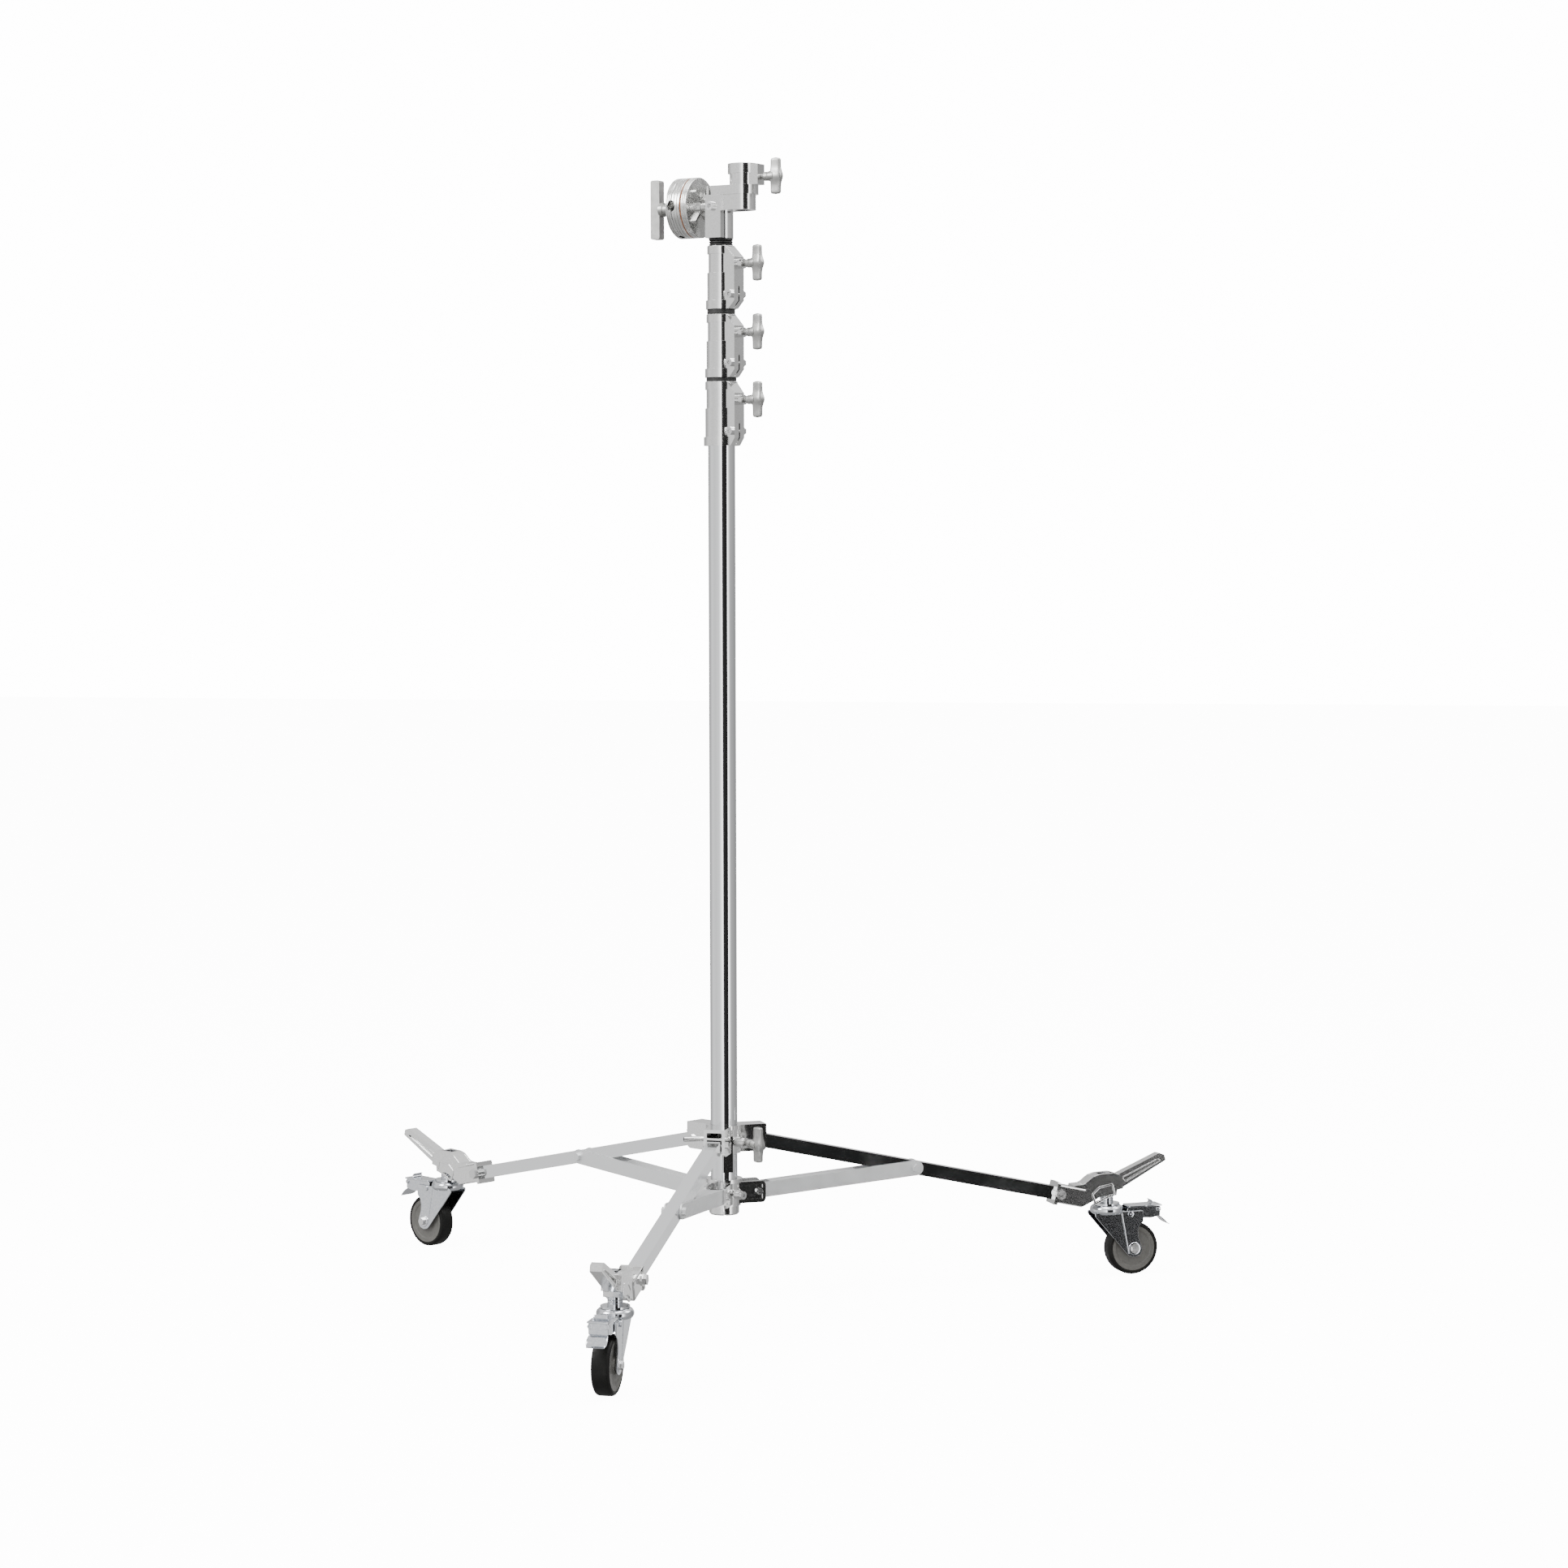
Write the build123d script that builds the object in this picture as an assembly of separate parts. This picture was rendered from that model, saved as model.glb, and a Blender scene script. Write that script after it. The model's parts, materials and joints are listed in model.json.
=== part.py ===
from build123d import *
import os
from math import atan2, cos, degrees, hypot, radians, sin

os.makedirs("parts", exist_ok=True)

# A rolling overhead light stand: column, three risers, folding braced legs on braked casters, grip head.
# Everything is built about the column's axis, at heights above a level just over the floor, and
# moved to its frame, with the floor at z = 0, at the end.
# A leg is drawn in its own radial frame: x runs outwards from the column, y across the leg, z up.
leg_angles = (-90.0, 30.0, 150.0)
running_gap = 0.3
turning_fit = 0.06

# column and risers
tube_radii = (25.0, 22.5, 20.0, 17.5)
tube_wall = 2.0
column_bottom = 150.0
riser_bottoms = (250.0, 270.0, 290.0)
riser_travel = 1240.0

# mast collars: the castings at the top of the column, riser 1 and riser 2
collar_tops = (1681.0, 1803.0, 1927.0)
collar_bottoms = (1564.0, 1688.0, 1812.0)
collar_radii = (29.9, 27.2, 25.3)
lip_height = 15.0
neck_height = 34.0
foot_height = 16.0
neck_step = 2.3
foot_step = 2.8
collar_seat = 46.0
block_reach = 45.0
block_half = 13.0
knob_drop = 35.0
screw_rise = 26.0
knob_angle = -30.0
bumper_top = 1940.0

# clamp T-knobs
knob_shaft = 5.0
knob_length = 66.0

# fold linkage of the base, as points in a leg's radial frame
upper_pivot = (62.0, 285.0)
lower_pivot = (62.0, 190.0)
middle_pivot = (371.0, 216.0)
fold_travel = 519.0
pin_radius = 4.0
leg_half = 12.5
leg_wall = 2.0
leg_length = 640.0
clamp_place = 612.0
socket_boss = 21.0
brace_half = 16.0
brace_inner = 13.0
brace_depth = 14.0
brace_web_start = 25.0
brace_web_back = 118.0

# castings on the column's foot
sleeve_radius = 31.0
leg_sleeve = (263.0, 313.0)
base_sleeve = (165.0, 208.0)
lug_reach = 76.0

# casters
stem_reach = 762.0
stem_radius = 6.0
trail = 50.0
wheel_radius = 51.0
axle_height = 39.0
wheel_half = 16.0
rim_radius = 43.0
fork_inner = 18.0
fork_sheet = 2.5
crown_bottom = 109.0
crown_top = 124.0
pedal_hinge = (42.0, 106.0)
pedal_clear = 74.0

# head
head_angle = -16.0
receiver_reach = 46.0
receiver_bore = 14.4
grip_height = 1997.0
grip_offset = -10.0
grip_radius = 55.0
grip_bolt = 6.0
jaw_split = -67.75
grip_plates = (36.0, 48.0, 50.0, 67.5, 68.0, 79.5)
grip_bar = (119.0, 138.0)
rod_hole = 8.0
rod_offset = 35.0

leg_tilt = degrees(atan2(upper_pivot[1] - middle_pivot[1], middle_pivot[0] - upper_pivot[0]))
brace_tilt = degrees(atan2(middle_pivot[1] - lower_pivot[1], middle_pivot[0] - lower_pivot[0]))
brace_length = hypot(middle_pivot[0] - lower_pivot[0], middle_pivot[1] - lower_pivot[1])
leg_to_middle = hypot(middle_pivot[0] - upper_pivot[0], upper_pivot[1] - middle_pivot[1])
base_up = (Align.CENTER, Align.CENTER, Align.MIN)


def upright(radius, bottom, top):
    """Round bar about the z axis between two heights."""
    return Pos(0, 0, bottom) * Cylinder(radius, top - bottom, align=base_up)


def ring(outer, inner, bottom, top):
    return upright(outer, bottom, top) - upright(inner, bottom - 1, top + 1)


def rod(radius, start, finish):
    """Round bar between two points."""
    run = Vector(finish) - Vector(start)
    return Plane(origin=start, z_dir=run) * Cylinder(radius, run.length, align=base_up)


def cross_rod(radius, x, z, low, high):
    """Round bar along y at a place in the x-z plane."""
    return rod(radius, (x, low, z), (x, high, z))


def hex_bar(across, start, finish):
    run = Vector(finish) - Vector(start)
    face = RegularPolygon(across / 2, 6, major_radius=False)
    return Plane(origin=start, z_dir=run) * extrude(face, run.length)


def block(low, high):
    """Box between two corners."""
    size = [b - a for a, b in zip(low, high)]
    middle = [(a + b) / 2 for a, b in zip(low, high)]
    return Pos(*middle) * Box(*size)


def slab(outline, low, high, corner=0):
    """Outline in the x-z plane, as thick as y = low to y = high, its corners rounded."""
    face = make_face(Polyline(*[(x, low, z) for x, z in outline], close=True))
    solid = extrude(face, amount=high - low, dir=(0, 1, 0))
    if corner:
        solid = fillet(solid.edges().filter_by(Axis.Y), corner)
    return solid


def turned(profile):
    """Solid of revolution about z from (radius, height) points."""
    face = make_face(Polyline(*[(r, 0, z) for r, z in profile], close=True))
    return revolve(face, Axis.Z)


def bored(solid, radius, bottom, top):
    return solid - upright(radius, bottom, top)


def turn(solid, angle):
    return Rot(0, 0, angle) * solid


def group(*solids):
    return Compound(children=[s for s in solids])


def t_knob(reach, height, seat, angle):
    """T-handled clamp screw: shaft out from the tube, neck, hub and two upright wings."""
    shaft = rod(knob_shaft, (seat, 0, height), (reach + 2, 0, height))
    neck = rod(8.5, (reach, 0, height), (reach + 14, 0, height))
    hub = rod(9.5, (reach + 12, 0, height), (reach + 40, 0, height))
    half = knob_length / 2
    outline = [(reach + 17, half), (reach + 37, half), (reach + 40, 6), (reach + 40, -6),
               (reach + 37, -half), (reach + 17, -half), (reach + 14, -9), (reach + 14, 9)]
    wings = slab([(x, height + z) for x, z in outline], -4.5, 4.5, 2)
    return turn(shaft + neck + hub + wings, angle)


def column_tube():
    top = collar_tops[0] - collar_seat
    return ring(tube_radii[0], tube_radii[0] - tube_wall, column_bottom, top)


def riser_tube(number):
    top = collar_tops[number] - collar_seat if number < 3 else 1985.0
    return ring(tube_radii[number], tube_radii[number] - tube_wall, riser_bottoms[number - 1], top)


def mast_collar(index):
    """Casting clamped on a tube's top end, with the side block that carries the T-knob."""
    body = collar_radii[index]
    low, high = collar_bottoms[index], collar_tops[index]
    neck = body - neck_step
    profile = [(0, low), (body + foot_step, low), (body + foot_step, low + foot_height),
               (body, low + foot_height), (body, high - lip_height - neck_height),
               (neck, high - lip_height - neck_height), (neck, high - lip_height),
               (body, high - lip_height), (body, high - 1), (body - 1, high), (0, high)]
    casting = turned(profile)
    side = [(10, low), (body + 5, low), (block_reach, low + 14), (block_reach, high - 22),
            (body - 4, high), (10, high)]
    casting += slab(side, -block_half, block_half)
    knob_height = high - knob_drop
    casting += rod(9.0, (block_reach - 1, 0, knob_height), (block_reach + 13, 0, knob_height))
    casting -= block((body + 6, -1.5, low - 1), (block_reach + 1, 1.5, low + 40))
    casting = bored(casting, tube_radii[index], low - 1, high - collar_seat)
    casting = bored(casting, tube_radii[index + 1] + running_gap, low, high + 1)
    casting -= rod(knob_shaft + turning_fit, (10, 0, knob_height), (70, 0, knob_height))
    casting -= collar_screw_bar(index, pin_radius, 3.2)
    return turn(casting, knob_angle)


def collar_screw_bar(index, radius, spare=0):
    height = collar_bottoms[index] + screw_rise
    return cross_rod(radius, block_reach - 7, height, -block_half - spare, block_half + spare)


def mast_collar_screw(index):
    """Hex socket screw that draws the casting onto its tube."""
    height = collar_bottoms[index] + screw_rise
    x = block_reach - 7
    screw = collar_screw_bar(index, pin_radius)
    head = cross_rod(7.5, x, height, -block_half - 8, -block_half)
    head -= hex_bar(6, (x, -block_half - 9, height), (x, -block_half - 3, height))
    nut = hex_bar(13, (x, block_half, height), (x, block_half + 6, height))
    return turn(screw + head + nut, knob_angle)


def tee_knob(index):
    seat = tube_radii[index + 1] + 0.4
    return t_knob(block_reach + 17, collar_tops[index] - knob_drop, seat, knob_angle)


def bumper_ring(index):
    """Rubber ring that the next collar lands on; the top one is a stack of three ribs."""
    inner = tube_radii[index + 1] + running_gap
    low = collar_tops[index]
    if index < 2:
        high = collar_bottoms[index + 1]
        outer = collar_radii[index + 1] + 0.4
        return fillet(ring(outer, inner, low, high).edges().filter_by(GeomType.CIRCLE), 1.5)
    outer = 22.0
    pitch = (bumper_top - low) / 3
    profile = [(inner, low)]
    for rib in range(3):
        foot = low + rib * pitch
        profile += [(outer - 2, foot), (outer, foot + 1.2), (outer, foot + pitch - 1.2), (outer - 2, foot + pitch)]
    profile.append((inner, bumper_top))
    kept = [p for i, p in enumerate(profile) if i == 0 or p != profile[i - 1]]
    return turned(kept)


def base_lug(angle):
    """Two plates that hold the inner end of one brace."""
    low, high = 169.0, 209.0
    plates = [slab([(20, low), (lug_reach - 2, low), (lug_reach - 2, high), (20, high)], y, y + 5, 0)
              for y in (brace_half + 0.5, -brace_half - 5.5)]
    lug = plates[0] + plates[1]
    outer = [e for e in lug.edges().filter_by(Axis.Y) if e.center().X > lug_reach - 3]
    lug = fillet(outer, 8)
    for side in (1, -1):
        face = side * (brace_half + 5.5)
        lug -= block((44, min(face, face - side * 2), 176), (68, max(face, face - side * 2), 203))
        pad = cross_rod(8, *lower_pivot, min(face, face - side * 3), max(face, face - side * 3))
        lug += pad
    return turn(lug, angle)


def base_collar():
    """Lower casting, clamped on the column: sleeve, end cap, flange and three brace lugs."""
    low, high = base_sleeve
    casting = upright(sleeve_radius, low, high) + upright(34.0, high, high + 7)
    casting += turned([(0, 148), (25.5, 148), (28, 151), (28, low + 1), (0, low + 1)])
    for angle in leg_angles:
        casting += base_lug(angle)
    casting += turn(rod(8.5, (28, 0, 187), (42, 0, 187)), knob_angle)
    casting = bored(casting, tube_radii[0], column_bottom, high + 8)
    for angle in leg_angles:
        casting -= turn(cross_rod(pin_radius, *lower_pivot, -30, 30), angle)
    casting -= turn(rod(pin_radius, (20, 0, 187), (50, 0, 187)), knob_angle)
    casting -= block((5, -32, 147), (9, -20, 156))
    return casting


def pivot_bolt(x, z, half, angle):
    """Bolt across a lug, with its head and nut."""
    bolt = cross_rod(pin_radius, x, z, -half - 1, half + 1)
    bolt += cross_rod(6.5, x, z, -half - 3, -half)
    bolt += hex_bar(11, (x, half, z), (x, half + 4, z))
    return turn(bolt, angle)


def base_collar_fasteners():
    bolts = [pivot_bolt(*lower_pivot, brace_half + 5.5, angle) for angle in leg_angles]
    screw = rod(pin_radius, (25.2, 0, 187), (44, 0, 187)) + rod(7.5, (42, 0, 187), (50, 0, 187))
    screw -= hex_bar(6, (45, 0, 187), (51, 0, 187))
    return group(*bolts, turn(screw, knob_angle))


def leg_lug(angle):
    """Box lug of the sliding collar: two plates, a top plate and a lip over the leg."""
    low, high = 265.0, 314.0
    sides = [slab([(26, low), (lug_reach, low), (lug_reach, high), (26, high)], y, y + 6)
             for y in (14.0, -20.0)]
    lug = sides[0] + sides[1]
    lower_edges = [e for e in lug.edges().filter_by(Axis.Y) if e.center().X > 70 and e.center().Z < 270]
    lug = fillet(lower_edges, 9)
    lug += block((26, -20, 309), (lug_reach, 20, 315))
    lug += block((72, -20, 296), (77, 20, 299.5))
    return turn(lug, angle)


def leg_collar():
    """Sliding casting that carries the legs, with its brake bar and guide stud."""
    low, high = leg_sleeve
    casting = upright(sleeve_radius, low, high) + upright(34.0, high - 5, high + 2)
    for angle in leg_angles:
        casting += leg_lug(angle)
    casting += turn(block((25.5, -9, 229), (31, 9, 296)), knob_angle - 32)
    casting += turn(rod(5, (28, 0, 290), (77, 0, 290)) - rod(3, (66, 0, 290), (78, 0, 290)), -150)
    casting += turn(rod(9.5, (28, 0, 285), (56, 0, 285)), knob_angle)
    casting = bored(casting, tube_radii[0] + running_gap, 200, 330)
    for angle in leg_angles:
        casting -= turn(cross_rod(pin_radius, *upper_pivot, -30, 30), angle)
    casting -= turn(rod(knob_shaft + turning_fit, (20, 0, 285), (60, 0, 285)), knob_angle)
    return casting


def leg_collar_pins():
    bolts = [pivot_bolt(*upper_pivot, 20.0, angle) for angle in leg_angles]
    return group(*bolts)


def collar_tee():
    return t_knob(58.0, 285.0, tube_radii[0] + 0.4, knob_angle)


def leg_frame(shape):
    """From a frame lying along the leg at its upper pivot to the leg's radial frame."""
    return Pos(upper_pivot[0], 0, upper_pivot[1]) * Rot(0, leg_tilt, 0) * shape


def leg_tube():
    """Square tube with rounded cheeks at its pivot."""
    tube = block((0, -leg_half, -leg_half), (leg_length, leg_half, leg_half))
    tube += cross_rod(leg_half, 0, 0, -leg_half, leg_half)
    inner = leg_half - leg_wall
    tube -= block((-20, -inner, -inner), (leg_length + 1, inner, inner))
    tube -= cross_rod(pin_radius + turning_fit, 0, 0, -20, 20)
    tube -= cross_rod(5, leg_to_middle, 0, -20, 20)
    tube -= cross_rod(pin_radius, clamp_place, 0, -20, 20)
    return leg_frame(tube)


def leg_bolts():
    """Sleeve that the brace's bolts turn in, and the bolt that clamps the caster bracket."""
    sleeve = cross_rod(5, leg_to_middle, 0, -leg_half, leg_half)
    clamp = cross_rod(pin_radius, clamp_place, 0, -socket_boss - 1, socket_boss + 1)
    clamp += hex_bar(17, (clamp_place, socket_boss, 0), (clamp_place, socket_boss + 7, 0))
    clamp += cross_rod(9.5, clamp_place, 0, -socket_boss - 5, -socket_boss)
    return leg_frame(group(sleeve, clamp))


def brace():
    """Channel, open downwards, that straddles the leg, and the two bolts on its outer cheeks."""
    frame = Pos(lower_pivot[0], 0, lower_pivot[1]) * Rot(0, -brace_tilt, 0)
    cheeks = Part()
    for side in (1, -1):
        low, high = sorted((side * brace_inner, side * brace_half))
        cheeks += block((0, low, -brace_depth), (brace_length, high, brace_depth))
        cheeks += cross_rod(brace_depth, 0, 0, low, high) + cross_rod(brace_depth, brace_length, 0, low, high)
    web = block((brace_web_start, -brace_half, brace_depth - 3),
                (brace_length - brace_web_back, brace_half, brace_depth))
    channel = cheeks + web
    channel -= cross_rod(pin_radius + turning_fit, 0, 0, -20, 20)
    channel -= cross_rod(pin_radius, brace_length, 0, -20, 20)
    bolts = []
    for side in (1, -1):
        shank = rod(pin_radius, (brace_length, side * brace_inner, 0), (brace_length, side * (brace_half + 1), 0))
        head = hex_bar(13, (brace_length, side * brace_half, 0), (brace_length, side * (brace_half + 6), 0))
        bolts.append(shank + head)
    return frame * group(channel, *bolts)


def caster_bracket():
    """Casting on the leg's end: socket, neck over the caster's stem and a long tail lever."""
    socket = block((607, -19, -17.5), (662, 19, 17.5)) + block((603, -socket_boss, -21.5), (610, socket_boss, 21.5))
    bosses = cross_rod(11, clamp_place, 0, -socket_boss, socket_boss)
    casting = leg_frame(fillet(socket.edges().filter_by(Axis.X), 3) + bosses)
    neck = [(690, 166), (710, 167), (728, 181), (740, 184.5), (770, 186), (782, 182.4), (790, 156),
            (777, 153.3), (776, 143), (745, 143), (731.5, 136), (706, 124.5), (688, 129)]
    tail = [(768, 186), (782, 182.4), (866, 218.5), (877, 215.5), (880, 205), (790, 156), (770, 152)]
    casting += slab(neck, -17, 17, 1.5)
    casting += slab(tail, -10.5, 10.5, 2)
    pocket = [(726, 159), (740, 172), (767, 177), (772, 157), (755, 152), (733.5, 141)]
    groove = [(790, 176), (862, 207.5), (869, 205), (796, 167)]
    for side in (1, -1):
        casting -= slab(pocket, *sorted((side * 12, side * 18)))
        casting -= slab(groove, *sorted((side * 7, side * 11)))
    tube_space = block((590, -leg_half, -leg_half), (leg_length, leg_half, leg_half))
    casting -= leg_frame(tube_space + cross_rod(pin_radius, clamp_place, 0, -30, 30))
    casting -= block((742, -8, 176), (776, 8, 190))
    casting -= Pos(stem_reach, 0, 0) * upright(stem_radius, 120, 190)
    return casting


def caster_stem():
    """Threaded stem with its bush, the top swivel plate, the foot rivet and the nut in the deck's slot."""
    stem = upright(stem_radius, 104, 186) + upright(9, 104, 107.5)
    bush = [(0, crown_top + 4), (13, crown_top + 4), (13, 132), (12, 132.6), (13, 133.2), (13, 137),
            (12, 137.6), (13, 138.2), (13, 143), (0, 143)]
    stem += turned(bush) + upright(25, crown_top + 0.3, crown_top + 4)
    stem += hex_bar(15, (0, 0, 176), (0, 0, 183))
    return Pos(stem_reach, 0, 0) * stem


def caster_yoke():
    """Domed ball race and the sheet-metal fork that trails behind it."""
    dome = [(0, crown_bottom), (28, crown_bottom), (32, crown_bottom + 2), (32, crown_bottom + 4)]
    for step in range(1, 7):
        swing = radians(15 * step)
        dome.append((23 + 9 * cos(swing), crown_bottom + 4 + (crown_top - crown_bottom - 4) * sin(swing)))
    dome.append((0, crown_top))
    yoke = turned(dome)
    yoke += block((-28, -fork_inner - fork_sheet, crown_bottom), (34, fork_inner + fork_sheet, 111.5))
    side = [(-31, 111.5), (68, 111.5), (65, axle_height), (39, axle_height - 10), (-31, 104)]
    for low in (fork_inner, -fork_inner - fork_sheet):
        yoke += slab(side, low, low + fork_sheet) + cross_rod(15, trail, axle_height, low, low + fork_sheet)
    yoke -= upright(stem_radius + turning_fit, 100, 130)
    yoke -= cross_rod(pin_radius, trail, axle_height, -30, 30)
    yoke -= cross_rod(3 + turning_fit, *pedal_hinge, -30, 30)
    return Pos(stem_reach, 0, 0) * yoke


def axle_bolt():
    outer = fork_inner + fork_sheet
    bolt = cross_rod(pin_radius, trail, axle_height, -outer - 2, outer + 2)
    bolt += hex_bar(13, (trail, -outer - 6, axle_height), (trail, -outer - 1.5, axle_height))
    bolt += cross_rod(9, trail, axle_height, -outer - 1.5, -outer)
    bolt += cross_rod(9, trail, axle_height, outer, outer + 1.5)
    bolt += hex_bar(13, (trail, outer + 1.5, axle_height), (trail, outer + 7, axle_height))
    return Pos(stem_reach, 0, 0) * bolt


def at_wheel(shape):
    """From a wheel turned about z to its place in the leg's radial frame."""
    return Pos(stem_reach + trail, 0, axle_height) * Rot(90, 0, 0) * shape


def wheel_core():
    """Plastic centre with a hub, dished faces and a rim."""
    profile = [(pin_radius + turning_fit, -17.5), (14, -17.5), (15, -14.5), (36, -13), (38, -14.5),
               (rim_radius, -14.5), (rim_radius, 14.5), (38, 14.5), (36, 13), (15, 14.5), (14, 17.5),
               (pin_radius + turning_fit, 17.5)]
    return at_wheel(turned(profile))


def tyre():
    solid = ring(wheel_radius, rim_radius, -wheel_half, wheel_half)
    outer = [e for e in solid.edges().filter_by(GeomType.CIRCLE) if e.radius > rim_radius + 1]
    return at_wheel(fillet(outer, 6))


def brake_pedal():
    """Total-lock brake: box over the tyre, release tab on top and the pedal plate below."""
    lid = block((pedal_clear, -19, 112.5), (108, 19, 121))
    box = fillet(lid.edges().filter_by(Axis.Z), 4)
    box += block((40, -17, 112.5), (90, 17, 121)) + block((36, -17, 96), (104, 17, 113))
    tab = slab([(88, 120), (94, 120), (93, 129.5), (89, 129.5)], -13.5, 13.5, 1)
    plate = slab([(98, 104), (106, 104), (125, 84), (122, 81), (100, 99)], -18, 18, 1)
    pin = cross_rod(3, *pedal_hinge, -fork_inner - fork_sheet, fork_inner + fork_sheet)
    return Pos(stem_reach, 0, 0) * (box + tab + plate + pin)


def head_casting():
    """Socket on the top riser, arm, and the junior receiver with its clamp ear."""
    casting = upright(23, bumper_top, 1990) + upright(25, 1989.5, 2018)
    casting += block((0, -24, 1989.5), (receiver_reach, 24, 2018))
    casting += Pos(receiver_reach, 0, 0) * upright(24, 1989.5, 2055)
    casting += upright(29, 2017.5, 2034) + block((0, -29, 2017.5), (receiver_reach, 29, 2034))
    casting += Pos(receiver_reach, 0, 0) * (upright(29, 2017.5, 2034) + upright(27.5, 2055, 2073))
    casting += block((receiver_reach + 10, -13, 2034), (receiver_reach + 38, 13, 2071))
    casting += block((-16, -30, bumper_top), (16, 0, 2017.5))
    casting = bored(casting, tube_radii[3], 1900, 1985)
    receiver = Pos(receiver_reach, 0, 0)
    casting -= receiver * upright(receiver_bore, 1980, 2080)
    casting -= rod(9.5, (-40, grip_offset, grip_height), (14, grip_offset, grip_height))
    casting -= rod(knob_shaft + turning_fit, (receiver_reach, 0, 2048), (receiver_reach + 45, 0, 2048))
    casting -= rod(pin_radius, (-3, -40, grip_height), (-3, grip_offset, grip_height))
    return turn(casting, head_angle)


def head_screw():
    """Hex socket screw that holds the grip head's shaft."""
    screw = rod(pin_radius, (-3, -31, grip_height), (-3, grip_offset - 9.5, grip_height))
    screw += rod(8, (-3, -38, grip_height), (-3, -30, grip_height))
    screw -= hex_bar(8, (-3, -39, grip_height), (-3, -33, grip_height))
    return turn(screw, head_angle)


def receiver_knob():
    knob = t_knob(40.0, 2048.0, receiver_bore + 0.4, 0)
    return turn(Pos(receiver_reach, 0, 0) * knob, head_angle)


def grip_frame(shape):
    """From a part turned about z, z away from the column, to the grip head's axis."""
    place = Plane(origin=(0, grip_offset, grip_height), x_dir=(0, 0, 1), z_dir=(-1, 0, 0))
    return turn(place * shape, head_angle)


def grip_shaft():
    """Shaft in the head's block, the ribbed back plate and the bolt through the jaws."""
    near, far = grip_plates[0:2]
    shaft = upright(9.5, -14, near + 1) + upright(15, 30.5, near + 1) + jaw_disc(near, far, 0)
    shaft += upright(grip_bolt, near, grip_bar[0] + 8)
    for quarter in range(4):
        shaft += turn(block((10, -3, 30.5), (40, 3, near + 1)), 45 + 90 * quarter)
    return grip_frame(shaft)


def friction_washer():
    return grip_frame(ring(grip_radius - 0.5, grip_bolt + running_gap, *grip_plates[1:3]))


def jaw_holes(middle):
    """Two parallel rod holes that lie on the jaws' split, one each side of the bolt."""
    big = rod(rod_hole, (rod_offset, -70, middle), (rod_offset, 70, middle))
    small = rod(5, (-rod_offset + 4, -70, middle), (-rod_offset + 4, 70, middle))
    return Rot(0, 0, -40) * (big + small)


def jaw_disc(low, high, bore=grip_bolt + turning_fit):
    """Clamping plate: disc with two grooves round its rim."""
    r = grip_radius
    third = (high - low) / 3
    profile = [(bore, low), (r - 1, low), (r, low + 1)]
    for groove in (1, 2):
        z = low + groove * third
        profile += [(r, z - 1), (r - 1.5, z - 0.5), (r - 1.5, z + 0.5), (r, z + 1)]
    profile += [(r, high - 1), (r - 1, high), (bore, high)]
    return turned(profile)


def jaw_inner():
    return grip_frame(jaw_disc(*grip_plates[2:4]) - jaw_holes(-jaw_split))


def jaw_outer():
    low, high = grip_plates[4:6]
    disc = jaw_disc(low, high) + ring(20, grip_bolt + turning_fit, high - 1, high + 6)
    return grip_frame(disc - jaw_holes(-jaw_split))


def grip_tee():
    """Long T-handle on the clamp bolt."""
    near, far = grip_bar
    hub = upright(11, grip_plates[5] + 6.3, near + 1) + upright(13, near - 6, near + 2)
    bar = block((-54, -9, near), (54, 9, far))
    bar = fillet(bar.edges().filter_by(Axis.Y), 4)
    handle = hub + bar
    handle -= upright(grip_bolt + turning_fit, 80, near + 9)
    return grip_frame(handle)


def sub_parts():
    """Every node by name, in the column's frame."""
    nodes = {"column_tube": column_tube(), "base_collar": base_collar(),
             "base_collar_fasteners": base_collar_fasteners(), "leg_collar": leg_collar(),
             "leg_collar_pins": leg_collar_pins(), "collar_tee": collar_tee()}
    for index in range(3):
        number = index + 1
        nodes[f"mast_collar_{number}"] = mast_collar(index)
        nodes[f"mast_collar_{number}_screw"] = mast_collar_screw(index)
        nodes[f"tee_knob_{number}"] = tee_knob(index)
        nodes[f"bumper_ring_{number}"] = bumper_ring(index)
        nodes[f"riser_tube_{number}"] = riser_tube(number)
    leg_parts = {"leg_tube": leg_tube(), "leg_bolts": leg_bolts(), "brace": brace(),
                 "caster_bracket": caster_bracket(), "caster_stem": caster_stem(), "caster_yoke": caster_yoke(),
                 "axle_bolt": axle_bolt(), "wheel_core": wheel_core(), "tyre": tyre(),
                 "brake_pedal": brake_pedal()}
    for name, shape in leg_parts.items():
        for index, angle in enumerate(leg_angles):
            nodes[f"{name}_{index + 1}"] = turn(shape, angle)
    nodes.update({"head_casting": head_casting(), "grip_block_screw": head_screw(),
                  "receiver_knob": receiver_knob(), "grip_shaft": grip_shaft(),
                  "friction_washer": friction_washer(), "jaw_inner": jaw_inner(),
                  "jaw_outer": jaw_outer(), "grip_tee": grip_tee()})
    return nodes


nodes = sub_parts()
boxes = [shape.bounding_box() for shape in nodes.values()]
centre_x = (min(b.min.X for b in boxes) + max(b.max.X for b in boxes)) / 2
centre_y = (min(b.min.Y for b in boxes) + max(b.max.Y for b in boxes)) / 2
lowest = min(b.min.Z for b in boxes)
to_frame = Pos(-centre_x, -centre_y, -lowest)
for name, shape in nodes.items():
    export_step(to_frame * shape, f"parts/{name}.step")
print("column axis at", round(-centre_x, 4), round(-centre_y, 4), round(-lowest, 4), "nodes", len(nodes))
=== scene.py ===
import json
from math import radians

import bmesh
import bpy
import numpy as np
from mathutils import Matrix, Vector


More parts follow.
